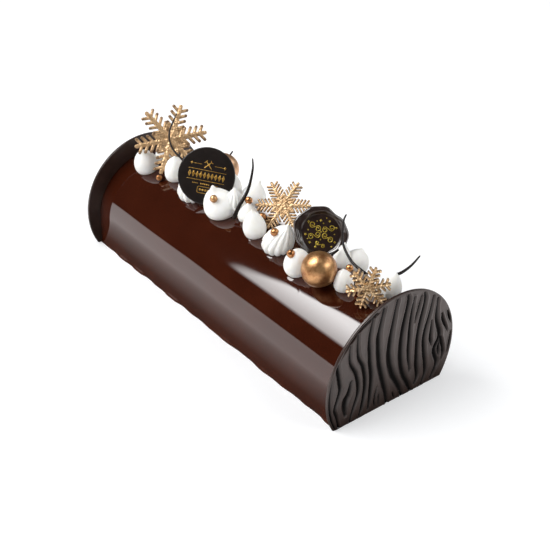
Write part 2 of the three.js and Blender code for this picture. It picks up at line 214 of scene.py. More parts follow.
# Where a meringue stands and how big it is, from its CAD solid. Its tip is the point furthest from the
# log's axis; the tip less its lean gives the foot, and the widest place gives the radius.
def standingSize(node, lean):
    points = cadPoints(node)
    out = np.hypot(points[:, 1], points[:, 2] - axisHeight)
    tip = points[out.argmax()]
    reach = out.max()
    around = degrees(np.arctan2(tip[1], tip[2] - axisHeight) - asin(lean[1] / reach))
    height = (reach**2 - lean[1] ** 2) ** 0.5 - logRadius
    foot = onLog(tip[0] - lean[0], around, 0)
    local = (points - foot) @ standingAxes(around).T
    share = np.clip(local[:, 2] / height, 0, 1)
    wide = np.hypot(local[:, 0] - lean[0] * share**2, local[:, 1] - lean[1] * share**2).max()
    return {"foot": foot, "along": foot[0], "around": around, "height": height, "radius": wide}


# Materials. Each starts from one shader whose plain values are set on its own sockets.

tones = {   # deep and bright, sRGB
    "chocolateGlaze": [(51, 18, 7), (60, 23, 10)],
    "discChocolate": [(42, 28, 23), (52, 36, 30)],
    "plaqueChocolate": [(25, 19, 17), (32, 25, 22)],
    "sealChocolate": [(36, 22, 17), (44, 28, 22)],
    "curlChocolate": [(18, 12, 10), (27, 19, 16)],
    "bakedMeringue": [(243, 241, 235), (250, 249, 246)],
    "goldDust": [(178, 142, 100), (226, 192, 148)],
    # the third snowflake's gold: paler, and lightened further as painted highlight for its sparkle
    "paintedSparkleGoldDust": [(206, 164, 114), (252, 224, 180)],
    "copperGoldShell": [(146, 97, 57), (218, 169, 116)],
    "roseGoldShell": [(182, 137, 100), (216, 176, 140)],
    "pearlGoldShell": [(146, 92, 52), (206, 148, 94)],
    "goldPrint": [(182, 134, 56), (222, 180, 92)],
    "yellowGoldPrint": [(172, 146, 44), (214, 190, 84)],
}
thinGlaze = (80, 34, 14)        # where it pools at the foot
# near black painted into the end discs' grooves as painted shade
grooveShade = (7, 5, 4)
goldGrain = (158, 118, 80)
paintedShadeBrown = (92, 66, 48)       # brown for painted shade on a flake's side walls, and for its darker barb ends, hollows and back
socketNames = {
    "colour": "Base Color",
    "roughness": "Roughness",
    "metal": "Metallic",
    "ior": "IOR",
    "specular": "Specular IOR Level",
    "coat": "Coat Weight",
    "coatRoughness": "Coat Roughness",
    "coatIor": "Coat IOR",
    "subsurface": "Subsurface Weight",
    "subsurfaceScale": "Subsurface Scale",
    "subsurfaceRadius": "Subsurface Radius",
}


def newMaterial(name, **sockets):
    material = bpy.data.materials.new(name)
    material.use_nodes = True
    tree = material.node_tree
    shader = tree.nodes["Principled BSDF"]
    for socket, value in sockets.items():
        shader.inputs[socketNames[socket]].default_value = value
    return material, tree, shader


# Varying values for a shader's sockets
def drive(tree, shader, **values):
    for socket, value in values.items():
        tree.links.new(value, shader.inputs[socketNames[socket]])


def setInput(tree, socket, value):
    if isinstance(value, bpy.types.NodeSocket):
        tree.links.new(value, socket)
    else:
        socket.default_value = value


def addNode(tree, kind, inputs=None, **options):
    node = tree.nodes.new(kind)
    for key, value in options.items():
        setattr(node, key, value)
    for key, value in (inputs or {}).items():
        setInput(tree, node.inputs[key], value)
    return node


def objectPlace(tree):
    return addNode(tree, "ShaderNodeTexCoord").outputs["Object"]


def attributeValue(tree, name):
    return addNode(tree, "ShaderNodeAttribute", attribute_name=name).outputs["Fac"]


def mathNode(tree, operation, first, second):
    return addNode(tree, "ShaderNodeMath", {0: first, 1: second}, operation=operation).outputs[0]


# Noise whose grain is given in millimetres
def noiseValue(tree, grain, detail=3, roughness=0.5):
    inputs = {"Vector": objectPlace(tree), "Scale": 1 / (grain * mm)}
    inputs.update({"Detail": detail, "Roughness": roughness})
    return addNode(tree, "ShaderNodeTexNoise", inputs).outputs["Fac"]


# A value that goes from start to end while another goes from low to high
def ranged(tree, value, low, high, start=0.0, end=1.0):
    inputs = {"Value": value, "From Min": low, "From Max": high, "To Min": start, "To Max": end}
    return addNode(tree, "ShaderNodeMapRange", inputs).outputs["Result"]


def mixedColour(tree, share, first, second):
    return addNode(tree, "ShaderNodeMix", {0: share, 6: first, 7: second}, data_type="RGBA").outputs[2]


# A material's two tones, mixed by noise: cloud is the noise's grain, detail and roughness
def cloudColour(tree, name, cloud, low=0.35, high=0.7):
    share = ranged(tree, noiseValue(tree, *cloud), low, high)
    return mixedColour(tree, share, *(linear(*tone) for tone in tones[name]))


# Bump whose height is in millimetres
def addBump(tree, shader, height, depth, after=None):
    inputs = {"Height": height, "Strength": 1.0, "Distance": depth * mm}
    if after:
        inputs["Normal"] = after
    bump = addNode(tree, "ShaderNodeBump", inputs)
    tree.links.new(bump.outputs["Normal"], shader.inputs["Normal"])
    return bump.outputs["Normal"]


# Two tones with a fine grain: what the plain materials share
def grainyMaterial(name, cloud, grain, depth, high=0.7, **sockets):
    material, tree, shader = newMaterial(name, **sockets)
    drive(tree, shader, colour=cloudColour(tree, name, cloud, high=high))
    addBump(tree, shader, noiseValue(tree, *grain), depth)
    return material, tree, shader


def glazeMaterial():
    name = "chocolateGlaze"
    material, tree, shader = newMaterial(name, roughness=0.05, ior=1.52, coat=0.35, coatRoughness=0.03)
    even = cloudColour(tree, name, (30, 3), 0.3)
    drive(tree, shader, colour=mixedColour(tree, attributeValue(tree, "pool"), even, linear(*thinGlaze)))
    return material


def discMaterial():
    name = "discChocolate"
    material, tree, shader = newMaterial(name, roughness=0.3, ior=1.5)
    sunk = attributeValue(tree, "sunk")
    # painted shade in the grooves: the deeper the face is sunk, the nearer its colour goes to near black,
    # with less shine and more roughness
    dark = ranged(tree, sunk, 0.08, 0.62)
    drive(
        tree, shader,
        colour=mixedColour(tree, dark, cloudColour(tree, name, (6, 5)), linear(*grooveShade)),
        roughness=ranged(tree, sunk, 0.2, 0.9, 0.33, 0.75),
        specular=ranged(tree, sunk, 0.2, 0.8, 0.5, 0.08),
    )
    addBump(tree, shader, noiseValue(tree, 1.6, 4), 0.02)
    return material


def plaqueMaterial():
    material, tree, shader = grainyMaterial(
        "plaqueChocolate", (5, 5), (1.0, 4), 0.012, roughness=0.3, ior=1.5)
    drive(tree, shader, roughness=ranged(tree, noiseValue(tree, 2, 4), 0.2, 0.8, 0.26, 0.38))
    return material


def curlMaterial():
    return grainyMaterial("curlChocolate", (2, 4), (0.7, 3), 0.015, roughness=0.4, ior=1.45, specular=0.3)[0]


def sealMaterial():
    return grainyMaterial(
        "sealChocolate", (4, 4), (2.5, 3), 0.03, roughness=0.34, ior=1.52, coat=1.0, coatRoughness=0.12,
        coatIor=1.7,
    )[0]


def meringueMaterial():
    name = "bakedMeringue"
    material, tree, shader = newMaterial(
        name, roughness=0.6, specular=0.35, subsurface=0.25, subsurfaceScale=2 * mm,
        subsurfaceRadius=(1.0, 0.9, 0.75),
    )
    drive(tree, shader, colour=cloudColour(tree, name, (5, 3), 0.3))
    fine = addBump(tree, shader, noiseValue(tree, 0.5, 3), 0.02)
    pits = addNode(tree, "ShaderNodeTexVoronoi", {"Vector": objectPlace(tree), "Scale": 1 / (1.1 * mm)})
    addBump(tree, shader, ranged(tree, pits.outputs["Distance"], 0.0, 0.22), 0.03, fine)
    return material


# Gold dust on chocolate, uneven in tone; the low attribute browns it: painted shade on side walls, darker
# barb ends and hollows
def goldDustMaterial(name, roughness):
    material, tree, shader = newMaterial(name, metal=0.5, roughness=roughness)
    grain = ranged(tree, noiseValue(tree, 0.5, 3), 0.3, 0.7, 0.0, 0.35)
    gold = cloudColour(tree, name, (2.2, 5, 0.6), high=0.65)
    dusted = mixedColour(tree, grain, gold, linear(*goldGrain))
    # painted shade on the side walls, and darker barb ends and hollows, mixed in by the low attribute
    darkened = mixedColour(tree, attributeValue(tree, "low"), dusted, linear(*paintedShadeBrown))
    uneven = ranged(tree, noiseValue(tree, 0.8, 3), 0.2, 0.8, roughness - 0.09, roughness + 0.1)
    drive(tree, shader, colour=darkened, roughness=uneven)
    addBump(tree, shader, noiseValue(tree, 0.6, 4), 0.06)
    return material


def goldShellMaterial(name, roughness, metal):
    material, tree, shader = grainyMaterial(
        name, (5, 5, 0.6), (1.3, 4, 0.6), 0.05, 0.68, metal=metal, roughness=roughness, coat=0.2,
        coatRoughness=0.25,
    )
    uneven = ranged(tree, noiseValue(tree, 3, 4), 0.25, 0.75, roughness - 0.06, roughness + 0.08)
    drive(tree, shader, roughness=uneven)
    return material


def goldPrintMaterial(name):
    return grainyMaterial(name, (1.5, 3), (0.4, 2), 0.01, 0.65, metal=0.72, roughness=0.35)[0]


glaze = glazeMaterial()
discChocolate = discMaterial()
plaqueChocolate = plaqueMaterial()
sealChocolate = sealMaterial()
curlChocolate = curlMaterial()
bakedMeringue = meringueMaterial()
goldDust = goldDustMaterial("goldDust", 0.4)
paintedSparkleGoldDust = goldDustMaterial("paintedSparkleGoldDust", 0.3)
copperGold = goldShellMaterial("copperGoldShell", 0.36, 0.76)
roseGold = goldShellMaterial("roseGoldShell", 0.38, 0.72)
pearlGold = goldShellMaterial("pearlGoldShell", 0.3, 0.86)
goldPrint = goldPrintMaterial("goldPrint")
yellowPrint = goldPrintMaterial("yellowGoldPrint")
print("materials ready")


# Meringues

dropSettings = {
    "profile": [(0.0, -0.05), (0.5, -0.05), (0.84, -0.03), (0.98, 0.13), (1, 0.3), (0.86, 0.5), (0.58, 0.7),
                (0.22, 0.9), (0, 1)],    # out and up, as shares of the radius and the height
    "widest": 0.3,
    "sides": 84,
    "steps": 62,
    "ridges": 13,
    "ridgeDepth": 0.17,
    "crest": 0.6,            # the lower, the wider a ridge against its furrow
    "twist": 0.14,
    "peak": (1.1, 1.0),      # radius and height of the small peak that the nozzle draws, mm
    "lumps": 0.022,          # unevenness, as a share of the radius
}
# full is 0 for a pointed drop and 1 for a dome; the tip leans by [along, to the side] millimetres
drops = {
    "meringue_01": {"full": 0.85},
    "meringue_02": {"full": 0.8},
    "meringue_03": {"full": 0.6},
    "meringue_04": {"full": 0.97, "lean": (-2.6, 0), "wider": 1.2, "taller": 0.77, "peak": (1.9, 3.4),
                    "peakLean": (-2.6, 0)},
    "meringue_05": {"full": 0.6},
    "meringue_06": {"full": 0.5},
    "meringue_07": {"full": 0.5},
    "meringue_08": {"full": 0.45, "peak": (1.3, 2.0)},
    "meringue_09": {"full": 0.7, "lean": (2, 1)},
    "meringue_10": {"full": 0.35, "lean": (-1, 0)},
    "meringue_11": {"full": 0.88, "wider": 1.14, "taller": 0.95},
    "meringue_12": {"full": 0.85},
    "meringue_13": {"full": 0.75},
    "meringue_14": {"full": 0.7},
    "meringue_15": {"full": 0.7},
    "rosette_1": {"full": 0.3, "ridged": True},
    "rosette_2": {"full": 0.3, "ridged": True},
    "rosette_3": {"full": 0.3, "lean": (8, 3), "ridged": True},
}


# A drop: at an angle and a share of its height, its radius is the profile's, bulged towards an ellipse
# by full. A rosette's radius dips at each furrow, the tip is a small peak, and slow waves unsettle it.
def dropSurface(
        size, seed, full, lean=(0, 0), ridged=False, wider=1.0, taller=1.0, peak=None, peakLean=(0, 0)):
    s = dropSettings
    peakRadius, peakHeight = peak or s["peak"]
    knots = np.array(s["profile"])
    curve = smoothCurve(knots, np.sin(np.linspace(0, pi / 2, s["steps"])))
    out, up = np.maximum(curve[:, 0], 0), curve[:, 1]
    dome = np.sqrt(np.clip(1 - ((up - s["widest"]) / (1 - s["widest"])) ** 2, 0, 1))
    out = np.where(up > s["widest"], out + (dome - out) * full, out)
    turn, share = np.meshgrid(fullTurn(s["sides"] * (2 if ridged else 1)), np.clip(up, 0, 1))
    radius = out[:, None] * size["radius"] * wider + 0 * turn
    height = up[:, None] * size["height"] * taller
    if ridged:
        crest = np.abs(np.sin(turn * s["ridges"] / 2)) ** s["crest"]
        radius *= 1 - s["ridgeDepth"] * (1 - crest) * softStep(1.0, 0.75, share)
        turn = turn + s["twist"] * share
    wobble = wander(seed, np.cos(turn) * 3, np.sin(turn) * 3, share * 4, slowest=0.08, fastest=0.35)
    radius *= 1 + s["lumps"] * wobble * softStep(1.0, 0.8, share)
    drawn = np.exp(-((radius / peakRadius) ** 2)) * softStep(0.8, 1.0, share)
    height = height + drawn * peakHeight
    x = radius * np.cos(turn) + lean[0] * share**2 + peakLean[0] * share**4
    y = radius * np.sin(turn) + lean[1] * share**2 + peakLean[1] * share**4
    local = np.stack([x, y, height], -1)
    return size["foot"] + local @ standingAxes(size["around"])


feet = {}
for number, (node, shape) in enumerate(drops.items()):
    feet[node] = standingSize(node, shape.get("lean", (0, 0)))
    rings = dropSurface(feet[node], 40 + number, **shape)
    addPiece(node.replace("_", "") + "Piped", closedRings(rings[1:-1]), bakedMeringue, [node])
print("meringues piped", len(feet))


# Gold balls and pearls

ballSettings = {"rings": 72, "sides": 96, "dents": 0.012, "foot": 0.35}   # shares of the radius
pearlSettings = {"rings": 28, "sides": 40, "dents": 0.03}
# how far some pearls stand out from the meringue they are pressed into: along the log, across it and up
pearlNudges = {5: (-0.3, -1.1, 0.7), 6: (0, -0.9, 0.8), 2: (0, -1.0, 0.8), 4: (0, -0.4, 0.4)}


# A ball: its radius wanders by a small share with direction
def ballSurface(centre, radius, settings, seed):
    polar = np.linspace(0, pi, settings["rings"] + 2)[1:-1]
    turn, polar = np.meshgrid(fullTurn(settings["sides"]), polar)
    way = np.stack([np.sin(polar) * np.cos(turn), np.sin(polar) * np.sin(turn), np.cos(polar)], -1)
    uneven = wander(seed, way[..., 0] * 4, way[..., 1] * 4, way[..., 2] * 4, slowest=0.1, fastest=0.3)
    return centre + way * (radius * (1 + settings["dents"] * (uneven - 1)))[..., None]


# The middle and the radius of a ball, from its CAD solid
def ballSize(node):
    return middleOf(node), np.ptp(boxOf(node), axis=0).max() / 2


for number, (node, material) in enumerate({"gold_ball_1": copperGold, "gold_ball_2": roseGold}.items()):
    centre, radius = ballSize(node)
    surface = closedRings(ballSurface(centre, radius, ballSettings, 70 + number))
    addPiece(f"goldBall{number + 1}", surface, material, [node])
    feet[node] = {"along": centre[0], "around": degrees(np.arctan2(centre[1], centre[2] - axisHeight)),
                  "radius": ballSettings["foot"] * radius}

for number in range(1, 8):
    centre, radius = ballSize(f"pearl_{number}")
    centre = centre + np.array(pearlNudges.get(number, (0, 0, 0)))
    surface = closedRings(ballSurface(centre, radius, pearlSettings, 80 + number))
    material = copperGold if number == 2 else pearlGold
    addPiece(f"sugarPearl{number}", surface, material, [f"pearl_{number}"])
print("gold balls and pearls set")


# Chocolate curls, as [along, around, above] from foot to tip

curlSettings = {"sides": 14, "steps": 72, "stouter": 1.08, "uneven": 0.07, "oval": 0.85}
curls = {
    "curl_1": {"foot": 0.8, "tip": 0.35, "path": [
        (-59.1, -2.8, 8.9), (-69.6, -5.4, 15.3), (-80.6, -5.9, 20.6), (-88.2, -2.5, 27.8),
        (-92.8, 4.8, 37.4)]},
    "curl_2": {"foot": 1.15, "tip": 0.4, "path": [
        (-8.9, -13.6, 1.6), (-9.2, -6.4, 8.2), (-10.5, 2.6, 16.4), (-14.7, 7.9, 26.9), (-19.3, 10, 32.7)]},
    "curl_3": {"foot": 0.9, "tip": 0.4, "path": [
        (92.5, 9, 6.4), (88.6, 7, 7.7), (79.6, 7, 9.6), (68.9, 9.7, 15.1), (62.1, 13.5, 24.7),
        (60.5, 15.6, 28.8)]},
    "curl_4": {"foot": 0.85, "tip": 0.45, "path": [
        (104.5, 14.4, 11.6), (106, 20.2, 13), (105.7, 27.7, 17.9), (104.2, 33.2, 24.8)]},
    "curl_5": {"foot": 0.8, "tip": 0.45, "path": [(-67.5, 25.7, 2.3), (-67, 29.9, 12.7), (-66, 31.8, 22.4)]},
    "curl_6": {"foot": 0.8, "tip": 0.55, "path": [(66.8, -3.3, 5), (67.4, 2.4, 8), (67.8, 8.6, 10.7)]},
}


# A rod along a smooth path: at each step a ring, oval and slowly changing, square to the path
def rodSurface(line, radius, seed):
    s = curlSettings
    heading = np.gradient(line, axis=0)
    heading /= np.linalg.norm(heading, axis=1)[:, None]
    side = np.cross(heading, [0.3, 0.2, 0.93])   # a way that no curl heads
    side /= np.linalg.norm(side, axis=1)[:, None]
    other = np.cross(heading, side)
    turn, step = np.meshgrid(fullTurn(s["sides"]), np.arange(len(line)))
    reach = radius[:, None] * (1 + s["uneven"] * wander(seed, np.cos(turn), np.sin(turn), step / 12))
    return line[:, None] + reach[..., None] * (
        np.cos(turn)[..., None] * side[:, None] + s["oval"] * np.sin(turn)[..., None] * other[:, None])


for number, (node, curl) in enumerate(curls.items()):
    share = np.linspace(0, 1, curlSettings["steps"])
    line = smoothCurve(onLog(*np.array(curl["path"]).T), share)
    ends = np.sqrt(np.clip(np.minimum(share, 1 - share) * 40, 0.05, 1))
    radius = curlSettings["stouter"] * (curl["foot"] + (curl["tip"] - curl["foot"]) * share**1.7) * ends
    surface = closedRings(rodSurface(line, radius, 90 + number))
    addPiece(f"chocolateCurl{number + 1}", surface, curlChocolate, [node])
print("curls laid")


# Flat shapes with relief: snowflakes and gold print

# A plate from two functions of its plane: outline(x, y) is the distance outside its edge, minus inside,
# and relief(x, y) is what its face rises. Grid cells whose middle is inside are kept and the points on
# their border slide onto the edge. Front and back swell from a narrow rim by a quarter round.
def plateSurface(outline, relief, reach, spacing, thickness, edge):
    line = np.arange(-reach, reach + spacing, spacing)
    x, y = np.meshgrid(line, line, indexing="ij")
    kept = outline(x[:-1, :-1] + spacing / 2, y[:-1, :-1] + spacing / 2) < 0
    for _ in range(6):   # cells that only touch at a corner get a third one between them
        pair = kept[:-1, :-1] & kept[1:, 1:] & ~kept[1:, :-1] & ~kept[:-1, 1:]
        kept[1:, :-1] |= pair
        pair = kept[1:, :-1] & kept[:-1, 1:] & ~kept[:-1, :-1] & ~kept[1:, 1:]
        kept[:-1, :-1] |= pair
    padded = np.pad(kept, 1)
    touching = padded[:-1, :-1].astype(int) + padded[1:, :-1] + padded[:-1, 1:] + padded[1:, 1:]
    shown = touching > 0
    border = shown & (touching < 4)
    nudge = 0.02
    for _ in range(3):   # slide along the slope of the distance
        here = outline(x, y)
        slopeX = (outline(x + nudge, y) - outline(x - nudge, y)) / (2 * nudge)
        slopeY = (outline(x, y + nudge) - outline(x, y - nudge)) / (2 * nudge)
        square = np.maximum(slopeX**2 + slopeY**2, 0.25)
        x = np.where(border, x - here * slopeX / square, x)
        y = np.where(border, y - here * slopeY / square, y)
    inside = np.where(border, 0, np.clip(-outline(x, y) / edge, 0, 1))
    swell = thickness / 2 * (0.3 + 0.7 * np.sqrt(1 - (1 - inside) ** 2))
    raised = relief(x, y) * softStep(0.0, 1.0, inside)
    count = shown.sum()
    number = np.full(x.shape, -1)
    number[shown] = np.arange(count)
    top = np.stack([x, y, swell + raised], -1)[shown]
    under = np.stack([x, y, -swell], -1)[shown]
    row, column = np.nonzero(kept)
    corners = ((0, 0), (1, 0), (1, 1), (0, 1))
    front = np.stack([number[row + down, column + over] for down, over in corners], -1)
    faces = [front, front[:, ::-1] + count]
    besides = [padded[1:-1, :-2], padded[2:, 1:-1], padded[1:-1, 2:], padded[:-2, 1:-1]]
    for side, beside in enumerate(besides):   # the rim, where a cell has none beside it
        bare = ~beside[row, column]
        first, second = front[bare, side], front[bare, (side + 1) % 4]
        faces.append(np.stack([second, first, first + count, second + count], -1))
    return np.vstack([top, under]), faces


# Distance from a bar with round ends, whose half width changes evenly from start to end
def barDistance(x, y, start, end, halfStart, halfEnd=None):
    halfEnd = halfStart if halfEnd is None else halfEnd
    stepX, stepY = end[0] - start[0], end[1] - start[1]
    share = np.clip(((x - start[0]) * stepX + (y - start[1]) * stepY) / (stepX**2 + stepY**2), 0, 1)
    away = np.hypot(x - start[0] - share * stepX, y - start[1] - share * stepY)
    return away - halfStart - (halfEnd - halfStart) * share


snowflakeSettings = {
    "snowflake_1": {
        "reach": 24.5, "arm": 4.1, "barb": 2.05, "barbs": 4, "firstBarb": 7.4, "barbReach": 5.0,
        "web": 8.0, "petal": 11.0, "petalHalf": 3.6, "thickness": 1.8, "facing": 64, "tilt": 36, "spin": 8,
        "spacing": 0.25, "rib": 0.58, "groove": 0.0, "rough": 0.13, "darkened": 0.75,
    },
    "snowflake_2": {
        "reach": 17.2, "arm": 2.8, "barb": 1.32, "barbs": 5, "firstBarb": 4.6, "barbReach": 3.9,
        "web": 4.4, "petal": 7.6, "petalHalf": 2.1, "thickness": 1.6, "facing": 36, "tilt": 46, "spin": 8,
        "spacing": 0.165, "rib": 0.45, "groove": 0.12, "rough": 0.1, "darkened": 0.4,
    },
    "snowflake_3": {
        "reach": 12.3, "arm": 2.5, "barb": 1.3, "barbs": 3, "firstBarb": 4.0, "barbReach": 2.9,
        "web": 2.9, "petal": 4.4, "petalHalf": 1.4, "thickness": 2.6, "facing": 47, "tilt": 8, "spin": 14,
        "spacing": 0.135, "rib": 0.8, "groove": 0.0, "rough": 0.36, "darkened": 0.1,
    },
}
barbAngle = radians(58)
flakeEdge = 0.3     # rounding, mm


# One arm's shape serves for all six: a place is turned into the sector round its nearest arm and folded
# onto the arm's upper side, as a distance out along the arm and one to its side
def foldedPlace(x, y):
    turn = np.mod(np.arctan2(y, x) + pi / 6, pi / 3) - pi / 6
    out = np.hypot(x, y)
    return out * np.cos(turn), np.abs(out * np.sin(turn))


# The middle lines of an arm's barbs, each from its root to the middle of its round end
def barbLines(flake):
    half, barb = flake["arm"] / 2, flake["barb"]
    tipStart = flake["reach"] - flake["arm"] * 0.6
    pitch = (tipStart - flake["barbReach"] * cos(barbAngle) - flake["firstBarb"]) / (flake["barbs"] - 1)
    lines = []
    for count in range(flake["barbs"]):
        root = flake["firstBarb"] + count * pitch + barb / 2 / sin(barbAngle)
        length = flake["barbReach"] * (1 - 0.07 * count) - barb / 2
        end = (root + length * cos(barbAngle), half + length * sin(barbAngle))
        lines.append(((root - half / tan(barbAngle), 0), end))
    return lines


# A rhombus between two arms, from the hub to its far tip: distance outside its slanted side
def petalDistance(out, side, flake):
    away = np.hypot(out, side)
    turn = pi / 6 - np.arctan2(side, out)
    along, across = away * np.cos(turn), np.abs(away * np.sin(turn))
    middle = flake["petal"] / 2
    slope = hypot(middle, flake["petalHalf"])
    return (np.abs(along - middle) * flake["petalHalf"] + (across - flake["petalHalf"]) * middle) / slope


# The distance outside whichever is nearest: an arm, a barb, a petal or the round web at the hub
def snowflakeOutline(flake):
    def outline(x, y):
        out, side = foldedPlace(x, y)
        tipHalf = flake["arm"] * 0.32
        edge = barDistance(out, side, (0, 0), (flake["reach"] - tipHalf, 0), flake["arm"] / 2, tipHalf)
        for start, end in barbLines(flake):
            edge = np.minimum(edge, barDistance(out, side, start, end, flake["barb"] / 2))
        edge = np.minimum(edge, petalDistance(out, side, flake))
        return np.minimum(edge, np.hypot(x, y) - flake["web"])
    return outline


# A roof along every arm and barb, a groove down the middle of the barbs where the mould has one, a
# raised border round each sunk petal, and cast unevenness
def snowflakeRelief(flake, seed):
    def relief(x, y):
        out, side = foldedPlace(x, y)
        rib = flake["rib"]
        rise = rib * np.clip(1 - side / (0.5 * flake["arm"]), 0, 1)
        for start, end in barbLines(flake):
            away = np.maximum(barDistance(out, side, start, end, 0), 0)
            rise = np.maximum(rise, 0.8 * rib * np.clip(1 - away / (0.5 * flake["barb"]), 0, 1))
            rise = rise - flake["groove"] * np.exp(-((away / 0.3) ** 2)) * (side > flake["arm"] / 2)
        petal = petalDistance(out, side, flake)
        rise = np.maximum(rise, rib * np.exp(-(((petal + 0.45) / 0.3) ** 2)))
        fine = wander(seed, x, y, waves=9, slowest=0.1, fastest=0.75)
        return rise - 0.45 * rib * softStep(-0.7, -1.3, petal) + flake["rough"] * fine
    return relief


# How far the gold is darkened towards brown: barb ends and sunk relief on the front, a little on the back,
# painted shade on the side walls
def snowflakeDarkening(flake, relief, points):
    out, side = foldedPlace(points[:, 0], points[:, 1])
    endDarkening = 0 * out
    for start, end in barbLines(flake):
        near = np.hypot(out - end[0], side - end[1])
        endDarkening = np.maximum(endDarkening, softStep(1.5, 0.5, near))
    sunk = 0.8 * softStep(-0.1, -0.5, relief(points[:, 0], points[:, 1]))
    rim = 0.45 * flake["thickness"] / 2
    # painted shade: the side walls round the rim, between front and back, are taken 0.6 of the way to brown
    behind = np.where(points[:, 2] < -rim, 0.5 * endDarkening + 0.1, 0.6)
    return np.where(points[:, 2] > rim, np.maximum(flake["darkened"] * endDarkening, sunk), behind)


for number, (node, flake) in enumerate(snowflakeSettings.items()):
    relief = snowflakeRelief(flake, 110 + number)
    points, faces = plateSurface(
        snowflakeOutline(flake), relief, flake["reach"] + 1, flake["spacing"], flake["thickness"], flakeEdge)
    # low is the share of brown in the gold, with painted shade on the side walls among it
    low = snowflakeDarkening(flake, relief, points)
    placed = middleOf(node) + points @ facingAxes(flake["facing"], flake["tilt"], flake["spin"])
    # the third snowflake's gold is lightened as painted highlight
    dust = paintedSparkleGoldDust if number == 2 else goldDust
    addPiece(f"goldSnowflake{number + 1}", (placed, faces), dust, [node], {"low": low})
    print("snowflake", number + 1, sum(len(block) for block in faces) * 2)


# Round plaque: a flat disc with a softly rounded edge

plaqueSettings = {"radius": 18.1, "thickness": 2.2, "edge": 0.7, "sides": 180, "facing": 50, "tilt": 32}


# A turned shape: profile [out, up] carried round, at each angle changed by swell(out, up, angle)
def turnedSurface(profile, sides, swell=None):
    turn = fullTurn(sides)[None]
    out, up = profile[:, 0][:, None], profile[:, 1][:, None]
    if swell is not None:
        out, up = swell(out, up, turn)
    out, up, turn = np.broadcast_arrays(out, up, turn)
    return closedRings(np.stack([out * np.cos(turn), out * np.sin(turn), up], -1))


# Two flat faces joined by a quarter round at either edge
def plaqueProfile():
    s = plaqueSettings
    bend = np.linspace(0, pi / 2, 9)
    out, edge, half = s["radius"], s["edge"], s["thickness"] / 2
    flat = np.array([[share * (out - edge), -half] for share in (0.1, 0.5, 0.8)])
    lower = np.stack([out - edge + edge * np.sin(bend), -half + edge - edge * np.cos(bend)], -1)
    upper = (lower * [1, -1])[::-1]
    return np.vstack([flat, lower, upper, (flat * [1, -1])[::-1]])


plaqueAxes = facingAxes(plaqueSettings["facing"], plaqueSettings["tilt"])
plaqueMiddle = middleOf("round_plaque")
points, faces = turnedSurface(plaqueProfile(), plaqueSettings["sides"])
surface = (plaqueMiddle + points @ plaqueAxes, faces)
addPiece("roundPlaque", surface, plaqueChocolate, ["round_plaque"])


# Seal: a thick lip of pressed, wax-like chocolate round a sunk field

sealSettings = {
    "radius": 15.5, "thickness": 2.2, "field": 11.2, "outerHalf": 1.7, "rimRise": 1.9, "sides": 220,
    "facing": 50, "tilt": 32, "forward": 0.4,
    # waves round the lip as [height, count, phase]
    "outline": [(1.1, 2, 1.4), (0.385, 5, -1.4), (0.3, 9, 0.5)],     # out and in, mm
    "rise": [(0.24, 3, 0.6), (0.16, 7, -1), (0.1, 11, 2)],           # as a share of its rise
    "crease": 0.34,                                                  # that winds over the lip, mm
}


# A sum of cosines round a turn: height cos(count turn + phase)
def roundWaves(waves, turn):
    return sum(height * np.cos(turn * count + phase) for height, count, phase in waves)


# The lip's outline and its height wander by waves, growing from the field's edge outwards
def sealSwell(out, up, turn):
    s = sealSettings
    share = np.clip((out - s["field"]) / (s["radius"] - s["field"]), 0, 1.2)
    rise = 1 + roundWaves(s["rise"], turn) * np.clip(share * 3, 0, 1)
    fade = np.clip(share * 4, 0, 1) * np.clip((1.15 - share) * 4, 0, 1)
    crease = s["crease"] * np.cos(turn * 2 + share * 7 + 0.8) * fade
    return out + roundWaves(s["outline"], turn) * share, np.where(up > 0, up * rise + crease, up)


# In section the lip is a quarter ellipse outside its crest and a nearly straight ramp inside it, down
# to a flat field
def sealProfile():
    s = sealSettings
    out, field, back = s["radius"], s["field"], -s["thickness"]
    bend = np.linspace(0, pi / 2, 14)
    crest = out - s["outerHalf"]
    outer = np.stack([crest + s["outerHalf"] * np.cos(bend), s["rimRise"] * np.sin(bend)], -1)
    ramp = crest - (crest - field) * np.sin(bend) ** 1.5
    inner = np.stack([ramp, s["rimRise"] * np.cos(bend) ** 1.5], -1)
    turned = ((0.5, 0), (0.86, 0), (0.95, 0.3), (0.99, 1))
    under = [(0.5, back)] + [(out * share, back + up) for share, up in turned]
    flat = [(field - 0.4, 0), (field - 1.0, 0), (field * 0.75, 0), (field * 0.4, 0), (0.5, 0)]
    return np.vstack([smoothCurve(under, np.linspace(0, 1, 24)), outer, inner[1:], flat])


sealAxes = facingAxes(sealSettings["facing"], sealSettings["tilt"])
sealMiddle = middleOf("seal_plaque") + sealSettings["forward"] * sealAxes[2]
points, faces = turnedSurface(sealProfile(), sealSettings["sides"], sealSwell)
surface = (sealMiddle + points @ sealAxes, faces)
addPiece("sealPlaque", surface, sealChocolate, ["seal_plaque"])


# Gold print: thin lines and stars that stand a hair proud of a plaque

# Strokes between knots, or along the smooth curve through them
def lineShape(knots, half, steps=1):
    knots = np.array(knots, float)
    line = knots if steps == 1 else smoothCurve(knots, np.linspace(0, 1, steps))
    return lambda x, y: np.minimum.reduce([
        barDistance(x, y, start, end, half) for start, end in zip(line[:-1], line[1:])])


# A four-pointed star: the astroid |x|^p + |y|^p = size^p, as a rough distance
def starShape(centre, size, power=0.62):
    def distance(x, y):
        right, up = np.abs(x - centre[0]) + 1e-6, np.abs(y - centre[1]) + 1e-6
        return ((right**power + up**power) ** (1 / power) - size) * 0.45
    return distance


# All within half of a circle
def ringShape(centre, radius, half):
    return lambda x, y: np.abs(np.hypot(x - centre[0], y - centre[1]) - radius) - half


